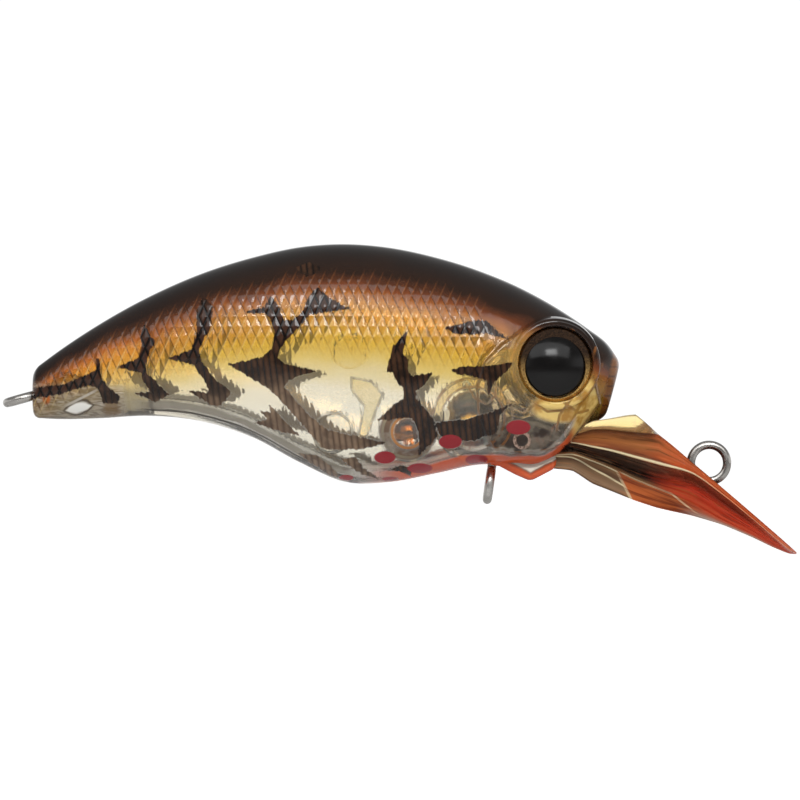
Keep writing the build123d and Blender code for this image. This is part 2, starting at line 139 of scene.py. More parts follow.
# Raised lines moulded on the head's inside, (x, z).
HEAD_RIDGES = [
    [(-19.0, 8.2), (-18.0, 9.2), (-16.8, 9.6), (-16.2, 11.0)],
    [(-20.3, 6.6), (-19.6, 5.4), (-18.6, 4.9), (-17.9, 5.6), (-17.9, 7.4), (-17.2, 8.3)],
    [(-16.6, 4.6), (-15.6, 4.2), (-14.6, 4.9), (-13.6, 4.3), (-12.4, 4.4)],
    [(-9.6, 9.6), (-10.3, 7.4), (-11.6, 5.4), (-12.6, 4.0), (-12.9, 2.4)],
    [(-9.0, 8.2), (-9.6, 6.6), (-11.0, 4.6), (-11.8, 3.0)],
    [(-12.2, 5.0), (-11.0, 4.2), (-10.2, 4.4)],
]
SCALE_PITCH = 0.8
SCALE_LEAN = 0.46
SCALE_HEIGHT = 0.04
RIB_PITCH = 0.46               # the fine upright ribs of the lower flank
RIB_LEAN = 0.12
RIB_HEIGHT = 0.009
GILL_RISE = 0.25
OUTER_GRID = (430, 240)        # columns and rows of the shells' surfaces
INNER_GRID = (260, 150)


# ---- numbers on grids -----------------------------------------------------------------------------
def smooth_curve(knots, values, at):
    """Cubic curve through values at knots, read at other places."""
    knots = np.asarray(knots, float)
    values = np.asarray(values, float)
    slope = np.gradient(values, knots)
    index = np.clip(np.searchsorted(knots, at, side="right") - 1, 0, len(knots) - 2)
    span = knots[index + 1] - knots[index]
    t = (at - knots[index]) / span
    return (
        (2 * t**3 - 3 * t**2 + 1) * values[index]
        + (t**3 - 2 * t**2 + t) * span * slope[index]
        + (3 * t**2 - 2 * t**3) * values[index + 1]
        + (t**3 - t**2) * span * slope[index + 1]
    )


def smoothstep(low, high, value):
    t = np.clip((value - low) / (high - low), 0, 1)
    return t * t * (3 - 2 * t)


def inside_distance(outline, x, z):
    """Signed distance in the side view to a closed outline: positive inside."""
    outline = np.asarray(outline, float)
    nearest = np.full(x.shape, 1e9)
    inside = np.zeros(x.shape, bool)
    for (x0, z0), (x1, z1) in zip(outline, np.roll(outline, -1, axis=0)):
        run = (x1 - x0, z1 - z0)
        t = ((x - x0) * run[0] + (z - z0) * run[1]) / (run[0] ** 2 + run[1] ** 2)
        t = np.clip(t, 0, 1)
        nearest = np.minimum(nearest, np.hypot(x - x0 - t * run[0], z - z0 - t * run[1]))
        if z0 != z1:
            crosses = (z0 > z) != (z1 > z)
            inside ^= crosses & (x < run[0] * (z - z0) / run[1] + x0)
    return np.where(inside, nearest, -nearest)


def line_distance(points, x, z):
    """Distance in the side view to an open line."""
    nearest = np.full(x.shape, 1e9)
    for (x0, z0), (x1, z1) in zip(points, points[1:]):
        run = (x1 - x0, z1 - z0)
        t = np.clip(((x - x0) * run[0] + (z - z0) * run[1]) / (run[0] ** 2 + run[1] ** 2), 0, 1)
        nearest = np.minimum(nearest, np.hypot(x - x0 - t * run[0], z - z0 - t * run[1]))
    return nearest


def spot_distance(x, z):
    """Signed distance to the nearest red spot: positive inside."""
    return np.max([
        (1 - np.hypot((x - cx) / long, (z - cz) / high)) * high for cx, cz, long, high in RED_SPOTS
    ], axis=0)


def ridge_distance(x, z):
    """Distance in the side view to the nearest moulded line inside the body."""
    rings = (
        (CHAMBER, CHAMBER_OUTER), (CHAMBER, CHAMBER_INNER), (POSTS[1], POST_RADIUS), (POCKET, POCKET_OUTER),
    )
    lines = [line_distance(ridge, x, z) for ridge in HEAD_RIDGES]
    lines += [np.abs(np.hypot(x - cx, z - cz) - radius) for (cx, cz), radius in rings]
    lines += [np.abs(inside_distance(outline, x, z)) for outline in (RIB_OUTLINE, GILL_OUTLINE)]
    return np.min(lines, axis=0)


def mark_distance(x, z):
    """Signed distance to the nearest dark mark: positive inside."""
    return np.max([inside_distance(outline, x, z) for outline in MARKS], axis=0)


# ---- body surfaces --------------------------------------------------------------------------------
SECTION_ARRAY = np.array([[*top, *bottom, width] for top, bottom, width in BODY_SECTIONS])
MIDDLE = (SECTION_ARRAY[:, 0:2] + SECTION_ARRAY[:, 2:4]) / 2
KNOTS = np.concatenate([[0], np.cumsum(np.hypot(*np.diff(MIDDLE, axis=0).T))])


def end_round(distance, radius):
    """How far the surface draws in near an end, at a distance from that end."""
    short = np.clip(radius - distance, 0, radius)
    return radius - np.sqrt(radius**2 - short**2)


def body_grid(columns, rows, side, inset=0.0, first=0, last=len(BODY_SECTIONS)):
    """Grid of points (columns, rows, 3) on one half of the body, drawn in by inset, with closed ends."""
    start, stop = KNOTS[first], KNOTS[last - 1]
    bend = np.linspace(0, math.pi / 2, 10)[:-1]
    tail_run = start + TAIL_ROUND * (1 - np.cos(bend))
    nose_run = stop - NOSE_ROUND * (1 - np.cos(bend[::-1]))
    middle_run = np.linspace(start + TAIL_ROUND, stop - NOSE_ROUND, columns)
    along = np.concatenate([tail_run, middle_run, nose_run])
    shrink = np.ones(len(along))
    caps = np.linspace(0, 1, 7)[:-1]
    along = np.concatenate([[start] * len(caps), along, [stop] * len(caps)])
    shrink = np.concatenate([caps, shrink, caps[::-1]])
    top_x, top_z, low_x, low_z, width = (smooth_curve(KNOTS, SECTION_ARRAY[:, k], along) for k in range(5))
    drawn = inset + end_round(along - start, TAIL_ROUND) + end_round(stop - along, NOSE_ROUND)
    height = np.hypot(top_x - low_x, top_z - low_z)
    up_x, up_z = (top_x - low_x) / height, (top_z - low_z) / height
    angle = np.linspace(0, math.pi, rows)
    across = np.sin(angle) ** FULLNESS
    across[-1] = 0
    rise = ((height / 2 - drawn) * shrink)[:, None] * np.cos(angle)[None, :]
    y = side * ((width - drawn) * shrink)[:, None] * across[None, :]
    x = ((top_x + low_x) / 2)[:, None] + up_x[:, None] * rise
    z = ((top_z + low_z) / 2)[:, None] + up_z[:, None] * rise
    return np.stack([x, y, z], axis=-1)


def grid_normals(points, side):
    """Outward unit normals of a body grid."""
    along = np.gradient(points, axis=0)
    around = np.gradient(points, axis=1)
    normal = np.cross(along, around) * side
    normal /= np.maximum(np.linalg.norm(normal, axis=-1, keepdims=True), 1e-9)
    return normal


def grid_faces(columns, rows, start, flip):
    """Quads of a grid whose first vertex has number start."""
    i, j = np.meshgrid(np.arange(columns - 1), np.arange(rows - 1), indexing="ij")
    corner = (start + i * rows + j).ravel()
    quads = np.stack([corner, corner + rows, corner + rows + 1, corner + 1], axis=1)
    return quads[:, ::-1] if flip else quads


# The body's form less the least wall, for finding how far inner pieces may reach.
CORE = body_grid(*INNER_GRID, 1, BORE_WALL)
CORE_FACES = grid_faces(*CORE.shape[:2], 0, False)
CORE_TREE = BVHTree.FromPolygons(CORE.reshape(-1, 3).tolist(), CORE_FACES.tolist())


def room_across(x, z):
    """Half width of the body at a place in the side view, less the least wall."""
    hit = CORE_TREE.ray_cast(Vector((x, 20.0, z)), Vector((0.0, -1.0, 0.0)))[0]
    return hit.y if hit else 0.0


def sink_bores(inner, hollow, side):
    """Cuts the ends of the balls' bores into the wall, as in the CAD."""
    for centre, radius, length in BORES:
        within = np.hypot(hollow[..., 0] - centre[0], hollow[..., 2] - centre[1]) < radius
        for i, j in np.argwhere(within):
            x, y, z = hollow[i, j]
            inner[i, j] = (x, side * max(abs(y), min(length, room_across(x, z))), z)


def keep_inside(obj):
    """Draws in the ends of a piece that spans the body, so that none of it stands out of the skin."""
    for vertex in obj.data.vertices:
        x, y, z = vertex.co / MM
        room = room_across(x, z)
        vertex.co.y = max(-room, min(room, y)) * MM
    return obj


def edge_height(x, column):
    """Height of the back line (column 0) or the belly line (column 2) at a place."""
    knots, heights = SECTION_ARRAY[:, column], SECTION_ARRAY[:, column + 1]
    order = np.argsort(knots)
    return smooth_curve(knots[order], heights[order], np.clip(x, knots.min(), knots.max()))


def scaled_drop(x, z):
    """Depth below the back line, stretched so that one colour ramp serves the whole length."""
    stretch = np.interp(x, [-56, -50, -44, -36, -24, -14, -8], [0.44, 0.64, 0.84, 0.96, 1.0, 0.9, 0.7])
    return (edge_height(x, 0) - z) / stretch


def scale_relief(x, z, drop):
    """Height of the embossed scales and fine ribs, in millimetres."""
    rising = np.abs(np.sin((x + SCALE_LEAN * z) * math.pi / SCALE_PITCH))
    falling = np.abs(np.sin((x - SCALE_LEAN * z) * math.pi / SCALE_PITCH))
    diamond = np.minimum(rising, falling)
    hatch = 0.5 + 0.5 * np.sin((x + RIB_LEAN * z) * 2 * math.pi / RIB_PITCH)
    upper = smoothstep(1.5, 3.5, drop) * (1 - smoothstep(7.5, 10.0, drop))
    lower = smoothstep(7.0, 9.5, drop) * (1 - smoothstep(15.5, 17.5, drop))
    flank = smoothstep(-55.5, -53, x) * (1 - smoothstep(-18.8, -17.6, x + 0.25 * (z - 6)))
    return flank * (SCALE_HEIGHT * upper * diamond + RIB_HEIGHT * lower * hatch)


def new_mesh(name, points, faces, closed=True):
    """Smooth-shaded object from points in millimetres; a closed one gets its faces turned outwards."""
    mesh = bpy.data.meshes.new(name)
    mesh.from_pydata((np.asarray(points) * MM).tolist(), [], [list(map(int, face)) for face in faces])
    mesh.update()
    if closed:
        turned = bmesh.new()
        turned.from_mesh(mesh)
        bmesh.ops.remove_doubles(turned, verts=turned.verts, dist=1e-7)
        bmesh.ops.recalc_face_normals(turned, faces=turned.faces)
        turned.to_mesh(mesh)
        turned.free()
    mesh.polygons.foreach_set("use_smooth", [True] * len(mesh.polygons))
    obj = bpy.data.objects.new(name, mesh)
    bpy.context.scene.collection.objects.link(obj)
    return obj


def store(obj, name, values):
    """Float attribute on an object's points."""
    layer = obj.data.attributes.new(name, "FLOAT", "POINT")
    layer.data.foreach_set("value", np.asarray(values, np.float32).ravel())


def store_paint(obj, side, inner_from=None):
    """The attributes that the paint material reads."""
    count = len(obj.data.vertices)
    flat = np.empty(count * 3)
    obj.data.vertices.foreach_get("co", flat)
    points = flat.reshape(-1, 3) / MM
    x, z = points[:, 0], points[:, 2]
    shift = FAR_SHIFT if side > 0 else (0, 0)
    store(obj, "drop", scaled_drop(x, z))
    store(obj, "mark", mark_distance(x - shift[0], z - shift[1]))
    store(obj, "spot", spot_distance(x - shift[0], z - shift[1]))
    store(obj, "gill", inside_distance(GILL_OUTLINE, x, z))
    store(obj, "ridge", ridge_distance(x, z))
    store(obj, "lift", z - edge_height(x, 2))
    bare = np.zeros(count)
    if inner_from is not None:
        bare[inner_from:] = 1
    store(obj, "bare", bare)


def inner_relief(points):
    """Moulded ridges inside the head, and the ring behind the eye; they stand into the hollow."""
    x, z = points[..., 0], points[..., 2]
    rise = np.zeros(x.shape)
    for ridge in HEAD_RIDGES:
        rise = np.maximum(rise, 0.45 * np.exp(-(line_distance(ridge, x, z) / 0.24) ** 2))
    eye_ring = np.abs(np.hypot(x - EYE_CENTRE[0], z - EYE_CENTRE[2]) - 3.9)
    rise = np.maximum(rise, 0.4 * np.exp(-(eye_ring / 0.25) ** 2))
    facets = np.abs(np.sin(x * 1.7 + z * 0.9)) + np.abs(np.sin(x * 0.6 - z * 1.4))
    rise += 0.16 * facets * smoothstep(-19.0, -17.5, x)
    return -rise


def body_half(name, side):
    """One shell: a finely embossed outside, and an inside with moulded ridges and the ends of the bores."""
    outer = body_grid(*OUTER_GRID, side)
    x, z = outer[..., 0], outer[..., 2]
    normal = grid_normals(outer, side)
    drop = scaled_drop(x, z)
    relief = scale_relief(x, z, drop)
    relief += GILL_RISE * smoothstep(-0.12, 0.12, inside_distance(GILL_OUTLINE, x, z))
    relief -= 0.05 * np.exp(-(outer[..., 1] / 0.12) ** 2)
    outer = outer + normal * relief[..., None]
    carve_socket(outer, side)
    outer[:, 0, 1] = outer[:, -1, 1] = 0
    hollow = body_grid(*INNER_GRID, side, WALL, HOLLOW_FIRST, HOLLOW_LAST)
    inner = hollow + grid_normals(hollow, side) * inner_relief(hollow)[..., None]
    sink_bores(inner, hollow, side)
    inner[:, 0, 1] = inner[:, -1, 1] = 0
    outer_count = outer.shape[0] * outer.shape[1]
    points = np.concatenate([outer.reshape(-1, 3), inner.reshape(-1, 3)])
    flip = side < 0
    faces = np.concatenate([
        grid_faces(*outer.shape[:2], 0, flip),
        grid_faces(*inner.shape[:2], outer_count, not flip),
    ])
    obj = new_mesh(name, points, faces, closed=False)
    store_paint(obj, side, outer_count)
    return obj


def eye_axes(side):
    """Centre, outward direction and in-plane axes of one eye."""
    centre = np.array([EYE_CENTRE[0], side * EYE_CENTRE[1], EYE_CENTRE[2]])
    out = np.array([math.sin(EYE_YAW), side * math.cos(EYE_YAW), 0])
    up = np.array([0.0, 0.0, 1.0])
    return centre, out, up, np.cross(up, out)


def carve_socket(points, side):
    """Sinks the head's surface under the eye, hidden below the brow ring."""
    centre, out, up, across = eye_axes(side)
    offset = points - centre
    height = offset @ out
    radius = np.hypot(offset @ up, offset @ across)
    sunk = np.minimum(height, -0.55)
    blend = 1 - smoothstep(3.3, 3.55, radius)
    near = (height > -2.5) & (points[..., 1] * side > 1.0)
    shift = np.where(near, (sunk - height) * blend, 0)
    points += shift[..., None] * out


def lathe(name, profile, centre, out, up, across, segments=96, closed=True):
    """Turned piece: profile of (radius, height) points round an axis."""
    profile = np.asarray(profile, float)
    angle = np.linspace(0, 2 * math.pi, segments, endpoint=False)
    ring = np.cos(angle)[:, None] * up + np.sin(angle)[:, None] * across
    points = centre + profile[None, :, 0, None] * ring[:, None, :] + profile[None, :, 1, None] * out
    count = len(profile)
    faces = []
    steps = count if closed else count - 1
    for i in range(segments):
        for j in range(steps):
            a = i * count + j
            b = i * count + (j + 1) % count
            c = ((i + 1) % segments) * count + (j + 1) % count
            d = ((i + 1) % segments) * count + j
            faces.append((a, b, c, d))
    return new_mesh(name, points.reshape(-1, 3), faces)


def pupil(name, side):
    """The domed pupil, low in its ring."""
    centre, out, up, across = eye_axes(side)
    floor = centre - SOCKET_DEPTH * out - PUPIL_DROP * up
    radius = np.linspace(0, PUPIL_RADIUS, 30)
    dome = PUPIL_HEIGHT - PUPIL_CURVE + np.sqrt(PUPIL_CURVE**2 - radius**2)
    profile = [*zip(radius, dome), (PUPIL_RADIUS, 0.0), (0.0, 0.0)]
    return lathe(name, profile, floor, out, up, across, 96, closed=False)


def brow_ring(name, side):
    """The raised ring of the head round one eye."""
    centre, out, up, across = eye_axes(side)
    bend = np.linspace(0, math.pi / 2, 7)
    outer_edge = [(3.4 + 0.38 * math.sin(t), 0.22 + 0.38 * math.cos(t)) for t in bend]
    inner_edge = [(3.28 - 0.15 * math.sin(t), 0.45 + 0.15 * math.cos(t)) for t in bend[::-1]]
    skirt = [(3.82, -0.1), (3.95, -0.6), (3.6, -1.1), (3.2, -0.9)]
    profile = [(3.13, -SOCKET_DEPTH), *inner_edge, *outer_edge, *skirt]
    ring = lathe(name, profile, centre, out, up, across, 128)
    store_paint(ring, side)
    return ring


# ---- smaller moulded pieces -----------------------------------------------------------------------
Y_AXIS = (np.array([0.0, 1.0, 0.0]), np.array([0.0, 0.0, 1.0]), np.array([1.0, 0.0, 0.0]))


def moulded_tube(name, place, outer, inner, half_length, lip=0.12):
    """A tube across the body with softened ends."""
    bend = np.linspace(0, math.pi / 2, 5)
    end_out = [(outer - lip + lip * math.cos(t), half_length - lip + lip * math.sin(t)) for t in bend]
    end_in = [(inner + lip - lip * math.sin(t), half_length - lip + lip * math.cos(t)) for t in bend]
    upper = end_out + end_in
    lower = [(radius, -height) for radius, height in reversed(upper)]
    centre = np.array([place[0], 0.0, place[1]])
    return lathe(name, upper + lower, centre, *Y_AXIS, 96)


def moulded_post(name, place, radius, half_length):
    """A post across the body, slightly waisted, with softened ends."""
    centre = np.array([place[0], 0.0, place[1]])
    profile = [(0.0, half_length), (radius * 0.75, half_length), (radius, half_length - 0.25)]
    profile += [(radius * 0.9, half_length * 0.5), (radius * 0.86, 0.06), (radius * 0.8, 0.0)]
    profile += [(wide, -height) for wide, height in reversed(profile[:-1])]
    return lathe(name, profile, centre, *Y_AXIS, 72, closed=False)


def bevelled_plate(name, outline, half_width, bevel, segments=3):
    """A side-view outline given thickness across the body, with rounded edges."""
    count = len(outline)
    near = [(x, -half_width, z) for x, z in outline]
    far = [(x, half_width, z) for x, z in outline]
    faces = [tuple(range(count)), tuple(range(2 * count - 1, count - 1, -1))]
    for i in range(count):
        j = (i + 1) % count
        faces.append((i, i + count, j + count, j))
    obj = new_mesh(name, near + far, faces)
    rounding = obj.modifiers.new("rounded edges", "BEVEL")
    rounding.width = bevel * MM
    rounding.segments = segments
    rounding.limit_method = "ANGLE"
    rounding.angle_limit = math.radians(20)
    return obj


# Lip sections, neck to tip: x, then (half width, z) of top edge, upper ridge, rim, valley, keel
# shoulder and keel bottom, as in the CAD.
LIP_SECTIONS = [
    (-13.0, [(1.0, 2.1), (1.5, 1.95), (1.8, 1.6), (1.2, 1.1), (1.85, 0.7), (1.4, -0.45)]),
    (-11.4, [(1.1, 2.7), (1.7, 2.3), (2.0, 1.7), (1.2, 1.2), (1.9, 0.75), (1.4, -0.65)]),
    (-9.75, [(2.2, 3.5), (2.5, 2.8), (2.8, 1.35), (1.3, 0.7), (1.95, 0.2), (1.35, -1.7)]),
    (-8.5, [(2.7, 3.7), (3.2, 2.8), (3.5, 1.1), (1.4, 0.3), (2.0, -0.3), (1.35, -2.2)]),
    (-6.25, [(3.9, 4.05), (4.7, 2.55), (4.9, 0.5), (1.7, -0.6), (2.1, -1.4), (1.3, -3.1)]),
    (-4.42, [(3.3, 2.5), (5.1, 2.4), (5.7, 0.0), (2.0, -1.2), (2.2, -2.15), (1.25, -3.7)]),
    (-1.58, [(3.0, 0.09), (6.1, 0.04), (6.35, -0.8), (2.2, -1.9), (2.1, -3.3), (1.15, -4.35)]),
    (1.08, [(2.6, -2.17), (6.3, -2.22), (6.45, -2.7), (2.0, -3.65), (1.7, -4.75), (1.0, -5.15)]),
    (3.58, [(2.0, -4.29), (5.5, -4.34), (5.6, -4.75), (1.7, -5.3), (1.3, -5.95), (0.8, -6.2)]),
    (5.5, [(1.3, -5.92), (3.9, -5.96), (3.95, -6.35), (1.3, -6.65), (0.9, -7.0), (0.6, -7.1)]),
    (6.67, [(0.8, -6.91), (2.2, -6.94), (2.2, -7.25), (0.9, -7.4), (0.6, -7.5), (0.4, -7.55)]),
    (7.25, [(0.3, -7.4), (0.8, -7.42), (0.8, -7.52), (0.5, -7.55), (0.35, -7.58), (0.2, -7.6)]),
]


def lip_blade():
    """The diving lip: the CAD's facets, finely divided, with small flutes along its flanks."""
    stations = np.array([x for x, _ in LIP_SECTIONS])
    corners = np.array([side for _, side in LIP_SECTIONS])
    along = np.concatenate([np.linspace(a, b, 14)[:-1] for a, b in zip(stations, stations[1:])])
    along = np.append(along, stations[-1])
    strip = np.linspace(0, 5, 5 * 9 + 1)
    half = np.empty((len(along), len(strip), 2))
    for k in range(2):
        blends = [0.65] * 6 if k == 0 else [0.25, 0.25, 0.75, 0.75, 0.75, 0.5]
        columns = np.stack([
            (1 - blend) * np.interp(along, stations, corners[:, c, k])
            + blend * smooth_curve(stations, corners[:, c, k], along)
            for c, blend in enumerate(blends)
        ], axis=1)
        for i, row in enumerate(columns):
            half[i, :, k] = np.interp(strip, range(6), row)
    flutes = 0.05 * np.sin(strip * 2 * math.pi * 2) * ((strip > 1) & (strip < 4))
    half[..., 0] += flutes * smoothstep(-11.4, -8, along)[:, None] * smoothstep(7.2, 3, along)[:, None]
    right = np.stack([np.broadcast_to(along[:, None], half.shape[:2]), -half[..., 0], half[..., 1]], -1)
    left = right * [1, -1, 1]
    ring = np.concatenate([right, left[:, ::-1]], axis=1)
    count = ring.shape[1]
    faces = []
    for i in range(len(along) - 1):
        for j in range(count):
            k = (j + 1) % count
            faces.append((i * count + j, i * count + k, (i + 1) * count + k, (i + 1) * count + j))
    faces.append(tuple(range(count))[::-1])
    faces.append(tuple((len(along) - 1) * count + j for j in range(count)))
    obj = new_mesh("lip_blade", ring.reshape(-1, 3), faces)
    obj.data.set_sharp_from_angle(angle=math.radians(11))
    store(obj, "strip", np.tile(np.concatenate([strip, strip[::-1]]), len(along)))
    return obj


# ---- shaders --------------------------------------------------------------------------------------
def colour(text):
    """Linear colour from a six-digit screen colour."""
    channels = [int(text[k:k + 2], 16) / 255 for k in (0, 2, 4)]
    return (*[c / 12.92 if c <= 0.04045 else ((c + 0.055) / 1.055) ** 2.4 for c in channels], 1.0)


class Shader:
    """A material being wired up."""

    def __init__(self, name):
        self.material = bpy.data.materials.new(name)
        self.material.use_nodes = True
        self.tree = self.material.node_tree
        self.surface = self.tree.nodes["Principled BSDF"]
        self.output = self.tree.nodes["Material Output"]

    def node(self, kind, **settings):
        made = self.tree.nodes.new(kind)
        for key, value in settings.items():
            setattr(made, key, value)
        return made

    def join(self, source, target):
        if isinstance(source, (int, float, tuple)):
            target.default_value = source
        else:
            self.tree.links.new(source, target)

    def set(self, **values):
        """Values or links for the main shader's sockets, with _ for a space."""
        for key, value in values.items():
            self.join(value, self.surface.inputs[key.replace("_", " ")])

    def attribute(self, name):
        return self.node("ShaderNodeAttribute", attribute_name=name).outputs["Fac"]

    def place(self):
        """Position in millimetres."""
        source = self.node("ShaderNodeTexCoord").outputs["Object"]
        scaled = self.node("ShaderNodeVectorMath", operation="SCALE")
        self.join(source, scaled.inputs[0])
        scaled.inputs["Scale"].default_value = 1000.0
        return scaled.outputs["Vector"]

    def reach(self, where, centre, radii):
        """Distance from an (x, z) centre in the side view, as a share of the radii."""
        steps = [
            self.math("DIVIDE", self.math("SUBTRACT", self.axis(where, name), middle), radius)
            for name, middle, radius in zip("XZ", centre, radii)
        ]
        squares = [self.math("POWER", step, 2.0) for step in steps]
        return self.math("SQRT", self.math("ADD", *squares))

    def axis(self, vector, name):
        split = self.node("ShaderNodeSeparateXYZ")
        self.join(vector, split.inputs[0])
        return split.outputs[name]

    def stretch(self, vector, scale):
        scaled = self.node("ShaderNodeVectorMath", operation="MULTIPLY")
        self.join(vector, scaled.inputs[0])
        scaled.inputs[1].default_value = scale
        return scaled.outputs["Vector"]

    def noise(self, vector, scale, detail=3.0, roughness=0.5):
        made = self.node("ShaderNodeTexNoise")
        self.join(vector, made.inputs["Vector"])
        made.inputs["Scale"].default_value = scale
        made.inputs["Detail"].default_value = detail
        made.inputs["Roughness"].default_value = roughness
        return made.outputs["Fac"]

    def math(self, operation, a, b=0.0, clamp=False):
        made = self.node("ShaderNodeMath", operation=operation, use_clamp=clamp)
        self.join(a, made.inputs[0])
        self.join(b, made.inputs[1])
        return made.outputs[0]

    def times(self, a, b):
        return self.math("MULTIPLY", a, b)

    def plus(self, a, b):
        return self.math("ADD", a, b)

    def minus(self, a, b, clamp=False):
        return self.math("SUBTRACT", a, b, clamp)

    def larger(self, a, b):
        return self.math("MAXIMUM", a, b)

    def ridges(self, value, pitch):
        """Rounded ridges at a spacing: 0 in the grooves, 1 on the crests."""
        return self.math("ABSOLUTE", self.math("SINE", self.math("MULTIPLY", value, math.pi / pitch)))

    def seam(self, value, centre, width):
        """1 along the line where value equals centre, fading out over width."""
        return self.remap(self.math("ABSOLUTE", self.math("SUBTRACT", value, centre)), width, 0.4 * width)

    def remap(self, value, low, high, to_low=0.0, to_high=1.0):
        made = self.node("ShaderNodeMapRange", interpolation_type="SMOOTHSTEP")
        self.join(value, made.inputs["Value"])
        made.inputs["From Min"].default_value = low
        made.inputs["From Max"].default_value = high
        made.inputs["To Min"].default_value = to_low
        made.inputs["To Max"].default_value = to_high
        return made.outputs["Result"]

    def ramp(self, value, stops):
        made = self.node("ShaderNodeValToRGB")
        elements = made.color_ramp.elements
        while len(elements) < len(stops):
            elements.new(0.5)
        for element, (position, shade) in zip(elements, stops):
            element.position = position
            element.color = colour(shade) if isinstance(shade, str) else (shade, shade, shade, 1.0)
        self.join(value, made.inputs["Fac"])
        return made.outputs["Color"]

    def mix(self, factor, a, b):
        made = self.node("ShaderNodeMix", data_type="RGBA")
        self.join(factor, made.inputs[0])
        self.join(colour(a) if isinstance(a, str) else a, made.inputs[6])
        self.join(colour(b) if isinstance(b, str) else b, made.inputs[7])
        return made.outputs[2]

    def bump(self, height, strength, distance_mm):
        made = self.node("ShaderNodeBump")
        self.join(height, made.inputs["Height"])
        made.inputs["Strength"].default_value = strength
        made.inputs["Distance"].default_value = distance_mm * MM
        self.join(made.outputs["Normal"], self.surface.inputs["Normal"])


